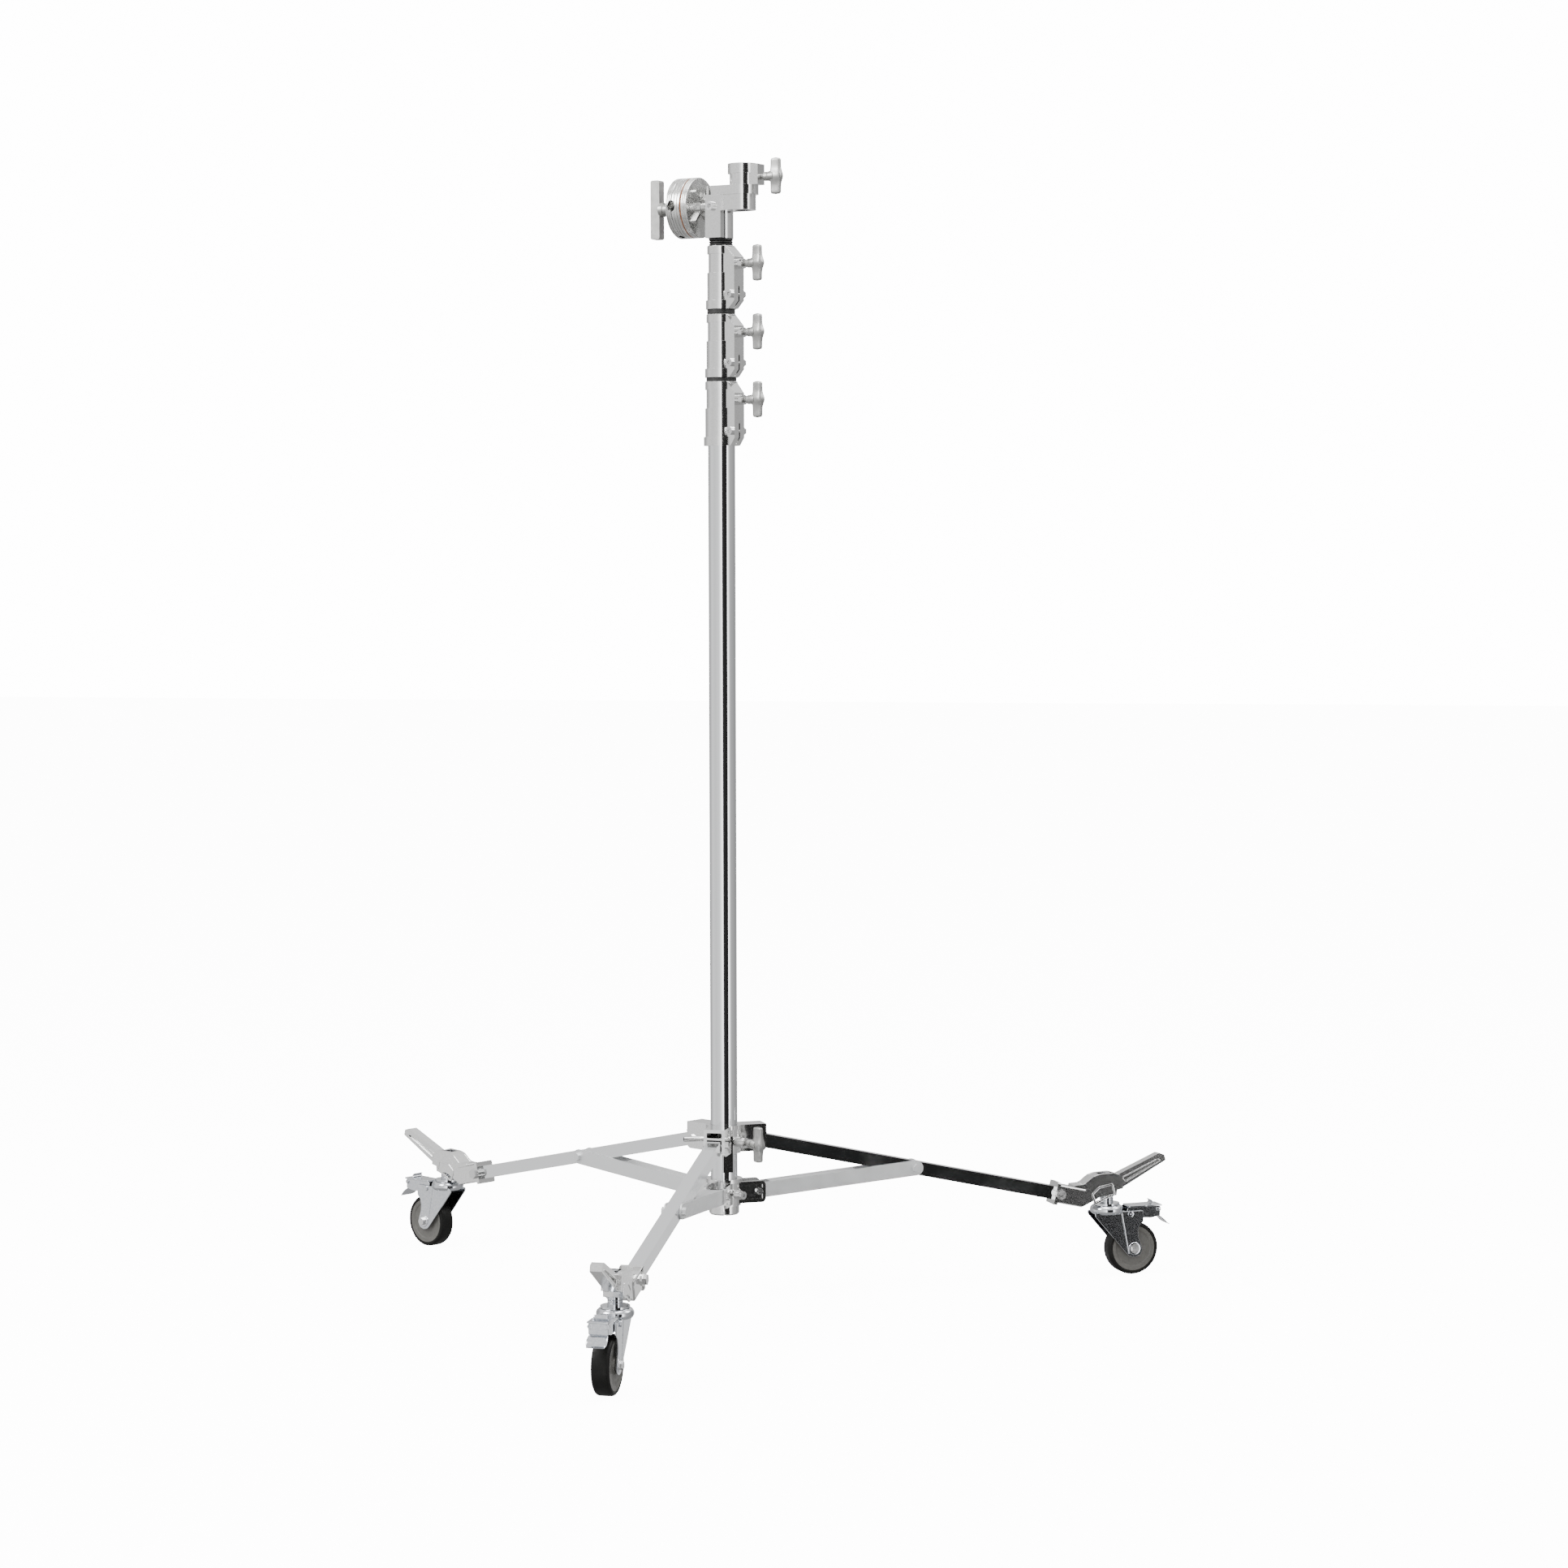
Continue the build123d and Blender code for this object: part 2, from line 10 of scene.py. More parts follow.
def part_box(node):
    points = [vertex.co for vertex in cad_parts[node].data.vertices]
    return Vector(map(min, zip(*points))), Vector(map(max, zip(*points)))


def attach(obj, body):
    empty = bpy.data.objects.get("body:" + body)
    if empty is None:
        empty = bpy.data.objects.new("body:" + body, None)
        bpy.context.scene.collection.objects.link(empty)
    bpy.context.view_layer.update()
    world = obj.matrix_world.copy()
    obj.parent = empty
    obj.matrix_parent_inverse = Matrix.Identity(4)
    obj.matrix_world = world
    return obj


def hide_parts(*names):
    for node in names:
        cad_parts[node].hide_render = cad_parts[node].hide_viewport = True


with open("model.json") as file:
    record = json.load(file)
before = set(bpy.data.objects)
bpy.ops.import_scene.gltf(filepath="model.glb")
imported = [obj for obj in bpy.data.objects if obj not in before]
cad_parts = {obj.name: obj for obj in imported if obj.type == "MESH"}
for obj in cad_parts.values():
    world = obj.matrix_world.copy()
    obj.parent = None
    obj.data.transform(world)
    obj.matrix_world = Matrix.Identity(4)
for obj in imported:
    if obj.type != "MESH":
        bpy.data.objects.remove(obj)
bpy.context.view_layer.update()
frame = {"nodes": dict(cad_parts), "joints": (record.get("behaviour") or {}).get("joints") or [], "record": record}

mm = 0.001
weld = 1e-6


def nodeBox(name):
    low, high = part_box(name)
    return np.array(low), np.array(high)


def nodePoints(name):
    points = np.empty(len(frame["nodes"][name].data.vertices) * 3)
    frame["nodes"][name].data.vertices.foreach_get("co", points)
    return points.reshape(-1, 3)


def joint(name):
    return next(j for j in frame["joints"] if j["name"] == name)


def unit(vector):
    vector = np.asarray(vector, dtype=float)
    return vector / np.linalg.norm(vector)


def meshPiece(name, grid, wrapU, wrapV, sharp=35.0):
    # grid is (nu, nv, 3): each point joins its neighbours in u and v, round the end where wrap is true
    nu, nv = grid.shape[:2]
    index = np.arange(nu * nv).reshape(nu, nv)
    iu = np.arange(nu if wrapU else nu - 1)
    iv = np.arange(nv if wrapV else nv - 1)
    u, v = np.meshgrid(iu, iv, indexing="ij")
    un, vn = (u + 1) % nu, (v + 1) % nv
    quads = np.stack([index[u, v], index[un, v], index[un, vn], index[u, vn]], axis=-1).reshape(-1, 4)
    mesh = bpy.data.meshes.new(name)
    mesh.vertices.add(nu * nv)
    mesh.vertices.foreach_set("co", grid.reshape(-1).astype(np.float32))
    mesh.loops.add(quads.size)
    mesh.loops.foreach_set("vertex_index", quads.reshape(-1).astype(np.int32))
    mesh.polygons.add(len(quads))
    mesh.polygons.foreach_set("loop_start", np.arange(0, quads.size, 4, dtype=np.int32))
    mesh.update(calc_edges=True)
    return tidyPiece(name, mesh, sharp)


def tidyPiece(name, mesh, sharp=35.0):
    # closes seams and poles, turns the faces outwards and shades smooth except over sharp edges
    shell = bmesh.new()
    shell.from_mesh(mesh)
    bmesh.ops.remove_doubles(shell, verts=shell.verts, dist=weld)
    bmesh.ops.dissolve_degenerate(shell, edges=shell.edges, dist=weld)
    holes = [e for e in shell.edges if e.is_boundary]
    if holes:
        bmesh.ops.holes_fill(shell, edges=holes, sides=0)
    bmesh.ops.recalc_face_normals(shell, faces=shell.faces)
    for face in shell.faces:
        face.smooth = True
    limit = radians(sharp)
    for edge in shell.edges:
        edge.smooth = len(edge.link_faces) == 2 and edge.calc_face_angle(0.0) < limit
    shell.to_mesh(mesh)
    shell.free()
    piece = bpy.data.objects.new(name, mesh)
    bpy.context.scene.collection.objects.link(piece)
    return piece


def roundedOutline(points, radius, steps=4, closed=True):
    # each corner p becomes (1-t)^2 a + 2t(1-t) p + t^2 b, a and b a radius back along its two sides
    p = np.asarray(points, dtype=float)
    before, after = np.roll(p, 1, axis=0), np.roll(p, -1, axis=0)
    toA, toB = before - p, after - p
    lenA = np.linalg.norm(toA, axis=1, keepdims=True)
    lenB = np.linalg.norm(toB, axis=1, keepdims=True)
    r = np.broadcast_to(np.asarray(radius, dtype=float).reshape(-1, 1), lenA.shape)
    a = p + toA / lenA * np.minimum(r, lenA * 0.48)
    b = p + toB / lenB * np.minimum(r, lenB * 0.48)
    t = np.linspace(0, 1, steps + 1).reshape(1, -1, 1)
    arcs = (1 - t) ** 2 * a[:, None] + 2 * t * (1 - t) * p[:, None] + t ** 2 * b[:, None]
    if closed:
        return arcs.reshape(-1, 2)
    return np.concatenate([p[:1], arcs[1:-1].reshape(-1, 2), p[-1:]])


def turnedPiece(name, outline, centre, axis, segments=96, sharp=35.0):
    # closed outline of (radius, height) turned about an axis: centre + h axis + r (e1 cos + e2 sin)
    axis = unit(axis)
    e1 = unit(np.cross(axis, (0.3, 0.5, 0.81)))
    e2 = np.cross(axis, e1)
    angle = np.linspace(0, 2 * np.pi, segments, endpoint=False)[:, None, None]
    r = outline[None, :, :1] * mm
    h = outline[None, :, 1:] * mm
    grid = np.asarray(centre) + h * axis + r * (np.cos(angle) * e1 + np.sin(angle) * e2)
    return meshPiece(name, grid, True, True, sharp)


def superLoft(name, along, halfA, halfB, centreB, power, origin, axes, around=48, sharp=35.0):
    # sections |a/A|^n + |b/B|^n = 1 stacked along the third axis, with A, B and the middle of B varying
    angle = np.linspace(0, 2 * np.pi, around, endpoint=False)
    c, s = np.cos(angle), np.sin(angle)
    ca = np.sign(c) * np.abs(c) ** (2 / power)
    sb = np.sign(s) * np.abs(s) ** (2 / power)
    eA, eB, eC = (unit(v) for v in axes)
    a = halfA[:, None] * ca[None] * mm
    b = (halfB[:, None] * sb[None] + centreB[:, None]) * mm
    grid = (np.asarray(origin) + a[..., None] * eA + b[..., None] * eB
            + (along * mm)[:, None, None] * eC)
    return meshPiece(name, grid, False, True, sharp)


def joinPieces(name, parts):
    # one mesh from several closed shells
    shell = bmesh.new()
    for part in parts:
        shell.from_mesh(part.data)
    mesh = bpy.data.meshes.new(name)
    shell.to_mesh(mesh)
    shell.free()
    for part in parts:
        old = part.data
        bpy.data.objects.remove(part)
        bpy.data.meshes.remove(old)
    piece = bpy.data.objects.new(name, mesh)
    bpy.context.scene.collection.objects.link(piece)
    return piece


def fit(piece, body, slot, *nodes):
    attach(piece, body)
    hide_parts(*nodes)


class finish:
    # one procedural material, read on Object coordinates
    def __init__(self, name, colour, metallic, roughness):
        self.material = bpy.data.materials.new(name)
        self.material.use_nodes = True
        self.tree = self.material.node_tree
        self.shader = self.tree.nodes["Principled BSDF"]
        self.shader.inputs["Base Color"].default_value = (*colour, 1)
        self.shader.inputs["Metallic"].default_value = metallic
        self.shader.inputs["Roughness"].default_value = roughness
        self.place = self.tree.nodes.new("ShaderNodeTexCoord").outputs["Object"]

    def node(self, kind, **settings):
        made = self.tree.nodes.new(kind)
        for key, value in settings.items():
            setattr(made, key, value)
        return made

    def link(self, a, b):
        self.tree.links.new(a, b)

    def noise(self, scale, detail=4.0, stretch=(1, 1, 1)):
        mapping = self.node("ShaderNodeMapping")
        mapping.inputs["Scale"].default_value = stretch
        self.link(self.place, mapping.inputs["Vector"])
        texture = self.node("ShaderNodeTexNoise")
        texture.inputs["Scale"].default_value = scale
        texture.inputs["Detail"].default_value = detail
        self.link(mapping.outputs["Vector"], texture.inputs["Vector"])
        return texture.outputs["Fac"]

    def ramp(self, source, low, high, start=0.3, end=0.7):
        change = self.node("ShaderNodeMapRange")
        change.inputs["From Min"].default_value = start
        change.inputs["From Max"].default_value = end
        change.inputs["To Min"].default_value = low
        change.inputs["To Max"].default_value = high
        self.link(source, change.inputs["Value"])
        return change.outputs["Result"]

    def colours(self, source, first, second, start=0.3, end=0.7):
        mix = self.node("ShaderNodeMix", data_type="RGBA")
        mix.inputs["A"].default_value = (*first, 1)
        mix.inputs["B"].default_value = (*second, 1)
        self.link(self.ramp(source, 0, 1, start, end), mix.inputs["Factor"])
        self.link(mix.outputs["Result"], self.shader.inputs["Base Color"])

    def roughness(self, source, low, high, start=0.3, end=0.7):
        self.link(self.ramp(source, low, high, start, end), self.shader.inputs["Roughness"])

    def bump(self, source, distance, strength=1.0):
        bump = self.node("ShaderNodeBump")
        bump.inputs["Distance"].default_value = distance
        bump.inputs["Strength"].default_value = strength
        self.link(source, bump.inputs["Height"])
        self.link(bump.outputs["Normal"], self.shader.inputs["Normal"])


def chromeTube():
    f = finish("chromeTube", (0.80, 0.81, 0.82), 1.0, 0.07)
    f.roughness(f.noise(9.0, 6.0, (1, 1, 0.15)), 0.05, 0.12)
    f.bump(f.noise(40.0, 2.0, (1, 1, 0.05)), 0.00001, 0.2)
    return f.material


def chromeLeg():
    f = finish("chromeLeg", (0.78, 0.79, 0.80), 1.0, 0.09)
    f.roughness(f.noise(14.0, 6.0), 0.06, 0.15)
    f.bump(f.noise(30.0, 2.0), 0.00002, 0.2)
    return f.material


def satinBrace():
    f = finish("satinBrace", (0.72, 0.73, 0.735), 0.75, 0.42)
    f.roughness(f.noise(60.0, 6.0), 0.36, 0.50)
    f.bump(f.noise(220.0, 4.0), 0.00004, 0.3)
    return f.material


def chromeCasting():
    f = finish("chromeCasting", (0.78, 0.78, 0.775), 1.0, 0.2)
    f.colours(f.noise(330.0, 6.0), (0.72, 0.72, 0.715), (0.82, 0.82, 0.815))
    f.roughness(f.noise(420.0, 5.0), 0.11, 0.15)
    f.bump(f.noise(500.0, 2.0), 0.000005, 0.1)
    return f.material


def knobMetal():
    f = finish("knobMetal", (0.38, 0.38, 0.37), 1.0, 0.38)
    f.colours(f.noise(90.0, 6.0), (0.34, 0.34, 0.33), (0.43, 0.43, 0.42))
    f.roughness(f.noise(140.0, 6.0), 0.32, 0.46)
    f.bump(f.noise(420.0, 5.0), 0.0001, 0.4)
    return f.material


def gripMetal():
    f = finish("gripMetal", (0.68, 0.68, 0.67), 1.0, 0.24)
    f.colours(f.noise(40.0, 5.0), (0.62, 0.62, 0.61), (0.74, 0.74, 0.73))
    f.roughness(f.noise(120.0, 6.0), 0.18, 0.32)
    f.bump(f.noise(500.0, 2.0), 0.000008, 0.15)
    return f.material


def fastenerSteel():
    f = finish("fastenerSteel", (0.66, 0.66, 0.66), 1.0, 0.22)
    f.roughness(f.noise(200.0, 5.0), 0.16, 0.28)
    f.bump(f.noise(600.0, 2.0), 0.000006, 0.15)
    return f.material


def zincSheet():
    f = finish("zincSheet", (0.66, 0.67, 0.69), 1.0, 0.16)
    f.colours(f.noise(240.0, 5.0), (0.56, 0.58, 0.62), (0.70, 0.71, 0.73))
    f.roughness(f.noise(400.0, 5.0), 0.09, 0.13)
    f.bump(f.noise(500.0, 2.0), 0.000005, 0.1)
    return f.material


def wheelPlastic():
    f = finish("wheelPlastic", (0.10, 0.097, 0.09), 0.0, 0.55)
    f.colours(f.noise(70.0, 5.0), (0.09, 0.087, 0.08), (0.112, 0.109, 0.10))
    f.roughness(f.noise(180.0, 5.0), 0.42, 0.6)
    f.bump(f.noise(900.0, 3.0), 0.00006, 0.4)
    return f.material


def tyreRubber():
    f = finish("tyreRubber", (0.006, 0.0055, 0.005), 0.0, 0.6)
    f.shader.inputs["Specular IOR Level"].default_value = 0.2
    f.colours(f.noise(55.0, 6.0), (0.003, 0.0028, 0.0025), (0.007, 0.0065, 0.006))
    f.roughness(f.noise(90.0, 6.0), 0.42, 0.66)
    f.bump(f.noise(700.0, 4.0), 0.00008, 0.5)
    return f.material


def bumperRubber():
    f = finish("bumperRubber", (0.010, 0.010, 0.010), 0.0, 0.42)
    f.roughness(f.noise(240.0, 4.0), 0.34, 0.5)
    f.bump(f.noise(800.0, 4.0), 0.00005, 0.4)
    return f.material


def brakeFibre():
    f = finish("brakeFibre", (0.22, 0.07, 0.025), 0.0, 0.7)
    f.colours(f.noise(500.0, 6.0), (0.13, 0.045, 0.018), (0.30, 0.12, 0.05))
    f.bump(f.noise(900.0, 5.0), 0.0001, 0.6)
    return f.material


finishes = {"chrome_tube": chromeTube(), "chrome_leg": chromeLeg(), "satin_brace": satinBrace(),
            "chrome_casting": chromeCasting(), "knob_metal": knobMetal(), "grip_metal": gripMetal(),
            "fastener_steel": fastenerSteel(), "zinc_sheet": zincSheet(),
            "wheel_plastic": wheelPlastic(), "tyre_rubber": tyreRubber(),
            "bumper_rubber": bumperRubber(), "brake_fibre": brakeFibre()}
slotOf = {s["node"]: s["material_slot"] for s in frame["record"]["subparts"]}
print("finishes made:", len(finishes))


def paint(piece, slot):
    if piece.data.materials:
        for slotIndex in range(len(piece.material_slots)):
            piece.material_slots[slotIndex].material = finishes[slot]
    else:
        piece.data.materials.append(finishes[slot])


for nodeName, nodeObject in frame["nodes"].items():
    paint(nodeObject, slotOf[nodeName])
print("frame nodes painted:", len(frame["nodes"]))


soften = {"collars": ["base_collar", "leg_collar"],
          "castings": ["head_casting", "mast_collar_1", "mast_collar_2", "mast_collar_3"],
          "grips": ["grip_shaft", "jaw_inner", "jaw_outer", "grip_tee"],
          "width": {"collars": 1.8, "castings": 1.2, "grips": 0.5}, "flat": 1.5, "edge": 32.0,
          "merge": 2e-6, "segments": 3, "leaning": 100}
columnPlace = (nodeBox("column_tube")[0] + nodeBox("column_tube")[1]) / 2
bodyOf = {node: body for body, members in frame["record"]["behaviour"]["bodies"].items() for node in members}


def softenedShape(node, width):
    # the casting's own shape, its triangles merged into flat faces and every sharp edge rounded by the width
    shell = bmesh.new()
    shell.from_mesh(frame["nodes"][node].data)
    bmesh.ops.remove_doubles(shell, verts=shell.verts, dist=soften["merge"])
    bmesh.ops.dissolve_limit(shell, angle_limit=radians(soften["flat"]), verts=shell.verts, edges=shell.edges)
    mesh = bpy.data.meshes.new(node + "Soft")
    shell.to_mesh(mesh)
    shell.free()
    piece = bpy.data.objects.new(node + "Soft", mesh)
    bpy.context.scene.collection.objects.link(piece)
    rounding = piece.modifiers.new("roundedEdges", "BEVEL")
    rounding.width = width * mm
    rounding.segments = soften["segments"]
    rounding.limit_method = "ANGLE"
    rounding.angle_limit = radians(soften["edge"])
    rounding.use_clamp_overlap = True
    rounding.miter_outer = "MITER_ARC"
    cutting = piece.modifiers.new("triangles", "TRIANGULATE")
    cutting.min_vertices = 5
    # each corner leans to its largest face, so flat faces stay flat and only the rounded edge turns
    leaning = piece.modifiers.new("flatFaces", "WEIGHTED_NORMAL")
    leaning.weight = soften["leaning"]
    leaning.keep_sharp = True
    for face in mesh.polygons:
        face.use_smooth = True
    bpy.context.view_layer.update()
    rounded = bpy.data.meshes.new_from_object(piece.evaluated_get(bpy.context.evaluated_depsgraph_get()))
    piece.modifiers.clear()
    piece.data = rounded
    low, high = nodeBox(node)
    points = np.empty(len(rounded.vertices) * 3)
    rounded.vertices.foreach_get("co", points)
    points = np.clip(points.reshape(-1, 3), low, high)
    rounded.vertices.foreach_set("co", points.reshape(-1).astype(np.float32))
    rounded.update()
    rounded.materials.clear()
    return piece


def softenedCopy(node, width):
    piece = softenedShape(node, width)
    paint(piece, slotOf[node])
    fit(piece, bodyOf[node], slotOf[node], node)


for family in ("collars", "castings", "grips"):
    for node in soften[family]:
        softenedCopy(node, soften["width"][family])
print("softened castings made")


# one profile for the tyre's section and one for half of the centre, as radius and height from the middle
wheel = {"radius": 51.0, "half": 16.0, "rim": 43.0, "shoulder": 3.2, "flank": 0.2, "seat": 0.6,
         "tyreCorners": (0.4, 2.0, 5.0, 5.0, 5.0, 2.0, 0.4), "centreCorner": 0.9,
         "centre": [(4.06, 17.4), (10, 17.4), (11.5, 16.4), (14.5, 16.0), (15.5, 13.2), (18.5, 12.4),
                    (33.5, 12.9), (36.0, 14.3), (40.5, 14.8), (43.0, 15.2)]}


def makeWheel(number):
    spin = joint(f"wheel_{number}_spin")
    centre, axis = np.array(spin["pos_m"]), np.array(spin["axis"])
    rim, half, tread = wheel["rim"], wheel["half"], wheel["radius"]
    shoulder, flank, seat = wheel["shoulder"], wheel["flank"], wheel["seat"]
    crown = [(rim, -half + seat), (rim + shoulder, -half), (tread - flank, -half + shoulder), (tread, 0),
             (tread - flank, half - shoulder), (rim + shoulder, half), (rim, half - seat)]
    tyre = turnedPiece(f"tyreRing{number}", roundedOutline(crown, wheel["tyreCorners"], 6), centre, axis,
                       160, 40)
    paint(tyre, "tyre_rubber")
    fit(tyre, f"wheel_{number}", "tyre_rubber", f"tyre_{number}")
    outline = np.array(wheel["centre"] + [(r, -h) for r, h in reversed(wheel["centre"])])
    core = turnedPiece(f"wheelCentre{number}", roundedOutline(outline, wheel["centreCorner"], 4), centre,
                       axis, 128, 40)
    paint(core, "wheel_plastic")
    fit(core, f"wheel_{number}", "wheel_plastic", f"wheel_core_{number}")


for number in (1, 2, 3):
    makeWheel(number)
print("wheels made")


def platePiece(name, outline, low, high, edge, origin, axes, sharp=22.0):
    # closed outline (x, z) carried from low to high along the plate's third axis, its rims drawn in
    p = np.asarray(outline, dtype=float)
    along = np.roll(p, -1, axis=0) - np.roll(p, 1, axis=0)
    along /= np.linalg.norm(along, axis=1, keepdims=True)
    area = np.sum(p[:, 0] * np.roll(p[:, 1], -1) - np.roll(p[:, 0], -1) * p[:, 1])
    outward = np.stack([along[:, 1], -along[:, 0]], axis=1) * np.sign(area)
    depth = np.array([low, low + 0.3 * edge, low + edge, high - edge, high - 0.3 * edge, high])
    inset = np.array([1.0, 0.3, 0.0, 0.0, 0.3, 1.0]) * edge
    flat = p[None] - inset[:, None, None] * outward[None]
    eX, eZ, eY = (unit(v) for v in axes)
    grid = (np.asarray(origin)
            + (flat[..., :1] * eX + flat[..., 1:] * eZ + depth[:, None, None] * eY) * mm)
    return meshPiece(name, grid, False, True, sharp)


def stripPiece(name, path, halfWidth, halfThick, origin, axes, around=40, steps=8, ring=False):
    # flat bar |a/w|^8 + |b/t|^4 = 1 carried along a path rounded at its corners, w and t eased along it
    line = roundedOutline(path, 3.0 if ring else 6.0, steps, closed=ring)
    share = np.linspace(0, 1, len(line))
    along = np.roll(line, -1, axis=0) - np.roll(line, 1, axis=0) if ring else np.gradient(line, axis=0)
    along /= np.linalg.norm(along, axis=1, keepdims=True)
    across = np.stack([-along[:, 1], along[:, 0]], axis=1)
    w = np.interp(share, np.linspace(0, 1, len(halfWidth)), halfWidth)
    thick = np.interp(share, np.linspace(0, 1, len(halfThick)), halfThick)
    angle = np.linspace(0, 2 * np.pi, around, endpoint=False)
    ca = np.sign(np.cos(angle)) * np.abs(np.cos(angle)) ** 0.25
    sb = np.sign(np.sin(angle)) * np.abs(np.sin(angle)) ** 0.5
    flat = line[:, None] + across[:, None] * (thick[:, None] * sb[None])[..., None]
    eX, eZ, eY = (unit(v) for v in axes)
    grid = np.asarray(origin) + (flat[..., :1] * eX + flat[..., 1:] * eZ
                                 + (w[:, None] * ca[None])[..., None] * eY) * mm
    return meshPiece(name, grid, ring, True, 50)


# the caster's settings are from the axle's centre: x outwards, z up, in millimetres
def casterAxes(number):
    spin = joint(f"wheel_{number}_spin")
    across = unit(spin["axis"])
    outwards = np.cross(across, (0, 0, 1))
    return np.array(spin["pos_m"]), (outwards, np.array([0, 0, 1.0]), across)


fork = {"stem": -50.0, "inner": 18.0, "outer": 20.5, "edge": 0.6,
        "side": [(-81, 72.5), (-81, 66), (-62, 44), (-18, -7), (-11, -14), (0, -16.5), (11, -13),
                 (16.5, -3), (12.5, 9), (8, 21), (7, 33), (10, 45), (18, 51), (18, 72.5)],
        "bend": [(-27, 70), (-19, 28), (-12, -9)], "bendWidth": (1.0, 1.0), "bendThick": (1.5, 1.1),
        "bendSunk": 0.35,
        "boss": [(4.1, 0), (12.5, 0), (11.5, 1.2), (4.1, 1.2)], "bossSunk": 0.2,
        "deck": [(-79, 70), (12, 70), (12, 72.5), (-79, 72.5)], "deckIn": 0.3, "deckEdge": 0.5}
dome = {"foot": 70.0, "start": [(6.1, 0.0), (27, 0.0), (28, -1.5)], "low": -1.5,
        "middle": (23.5, 6.0), "reach": (8.5, 8.9), "swing": (-70, 90),
        "end": [(15, 14.9), (13, 13.4), (6.1, 13.4)]}


def makeFork(number):
    centre, axes = casterAxes(number)
    name = f"casterFork{number}"
    stem = centre + axes[0] * fork["stem"] * mm
    inner, outer, edge = fork["inner"], fork["outer"], fork["edge"]
    outline = roundedOutline(fork["side"], 3.0, 4)
    parts = [platePiece(name + "a", outline, inner, outer, edge, centre, axes),
             platePiece(name + "b", outline, -outer, -inner, edge, centre, axes)]
    for side in (1, -1):
        rib = stripPiece(name + f"r{side}", fork["bend"], fork["bendWidth"], fork["bendThick"],
                         centre + axes[2] * side * (outer - fork["bendSunk"]) * mm, axes, 16)
        boss = turnedPiece(name + f"h{side}", roundedOutline(fork["boss"], 0.4, 2),
                           centre + axes[2] * side * (outer - fork["bossSunk"]) * mm, axes[2] * side, 48)
        parts += [rib, boss]
    deckHalf = outer - fork["deckIn"]
    parts.append(platePiece(name + "d", roundedOutline(fork["deck"], 0.6, 2), -deckHalf, deckHalf,
                            fork["deckEdge"], centre, axes))
    # the dome's round is middle + reach (cos, sin), held above its low edge
    (r0, h0), (dr, dh) = dome["middle"], dome["reach"]
    swing = np.radians(np.linspace(*dome["swing"], 15))
    ball = dome["start"] + [(r0 + dr * np.cos(a), h0 + dh * np.sin(a)) for a in swing]
    ball = [(r, max(h, dome["low"])) for r, h in ball] + dome["end"]
    parts.append(turnedPiece(name + "k", np.array(ball), stem + axes[1] * dome["foot"] * mm, axes[1], 96))
    piece = joinPieces(name, parts)
    paint(piece, "zinc_sheet")
    fit(piece, f"caster_{number}", "zinc_sheet", f"caster_yoke_{number}")


bracketRims = {"panel": [(-90, 119), (-73, 134.5), (-43, 139.5), (-38, 117), (-56, 111), (-79, 99)],
               "panelDepth": (9.0, 17.05), "panelEdge": 0.05,
               # each rim: its path, its distance off the middle, half depth, half thickness, closed or not
               "pocket": ([(-86, 108), (-72, 121), (-45, 126), (-40, 106), (-57, 101), (-78.5, 90)],
                          16.4, 1.7, 1.9, True),
               "groove": ([(-22, 137), (50, 168.5), (57, 166), (-16, 128)], 10.0, 1.0, 1.1, True),
               "ridge": ([(-120, 126.2), (-102, 127), (-84, 141), (-72, 144.7), (-42, 146), (-31, 142.6)],
                         14.6, 2.0, 1.4, False)}


def makeBracket(number):
    # the bracket's own softened shape with raised frames round its side hollows and along its top edges
    centre, _ = casterAxes(number)
    low, high = nodeBox(f"caster_stem_{number}")
    reach = (low + high) / 2 - columnPlace
    outwards = unit((reach[0], reach[1], 0))
    axes = (outwards, np.array([0, 0, 1.0]), np.cross((0, 0, 1), outwards))
    name = f"casterBracket{number}"
    parts = [softenedShape(f"caster_bracket_{number}", soften["width"]["castings"])]
    for side in (1, -1):
        depths = sorted(side * d for d in bracketRims["panelDepth"])
        parts.append(platePiece(name + f"f{side}", bracketRims["panel"], *depths,
                                bracketRims["panelEdge"], centre, axes))
        for kind, rim in (("p", "pocket"), ("g", "groove"), ("t", "ridge")):
            path, at, deep, thick, ring = bracketRims[rim]
            parts.append(stripPiece(name + kind + str(side), path, (deep, deep), (thick, thick),
                                    centre + axes[2] * side * at * mm, axes, 24, 5, ring))
    piece = joinPieces(name, parts)
    paint(piece, "chrome_casting")
    fit(piece, f"leg_{number}", "chrome_casting", f"caster_bracket_{number}")


pedal = {"half": 17.0, "wall": 1.8, "edge": 0.5,
         "cheek": [(-14, 60), (-8, 57), (20, 58), (36, 57), (53, 61), (53, 80), (-10, 80), (-14, 76)],
         "lid": [(-10, -17.2), (24, -17.2), (26, -19), (58, -19), (58, 19), (26, 19), (24, 17.2), (-10, 17.2)],
         "lidDepth": (79.2, 82.0), "lidEdge": 0.7, "end": (60.5, 80), "endDepth": (52.0, 54.0),
         "tab": [(33, 80), (40, 82.2), (42.0, 86), (38.5, 90)], "tabWidth": (13.5, 13.5, 11.5),
         "tabThick": (1.0, 1.0, 0.8),
         "plate": [(44, 62), (53, 60), (62, 53), (69, 45), (74, 43)], "plateWidth": (15, 16.5, 18, 18, 15.5),
         "plateThick": (1.2, 1.2, 1.2, 1.1, 0.9),
         "tube": [(2.4, 0), (4.2, 0), (4.2, 9.0), (2.4, 9.0)], "tubeAt": (46, 73.5, 14.6),
         "pin": [(0, 0), (5.5, 0), (5.5, 2.6), (0, 2.6)], "pinAt": (-8, 67, 20.4)}


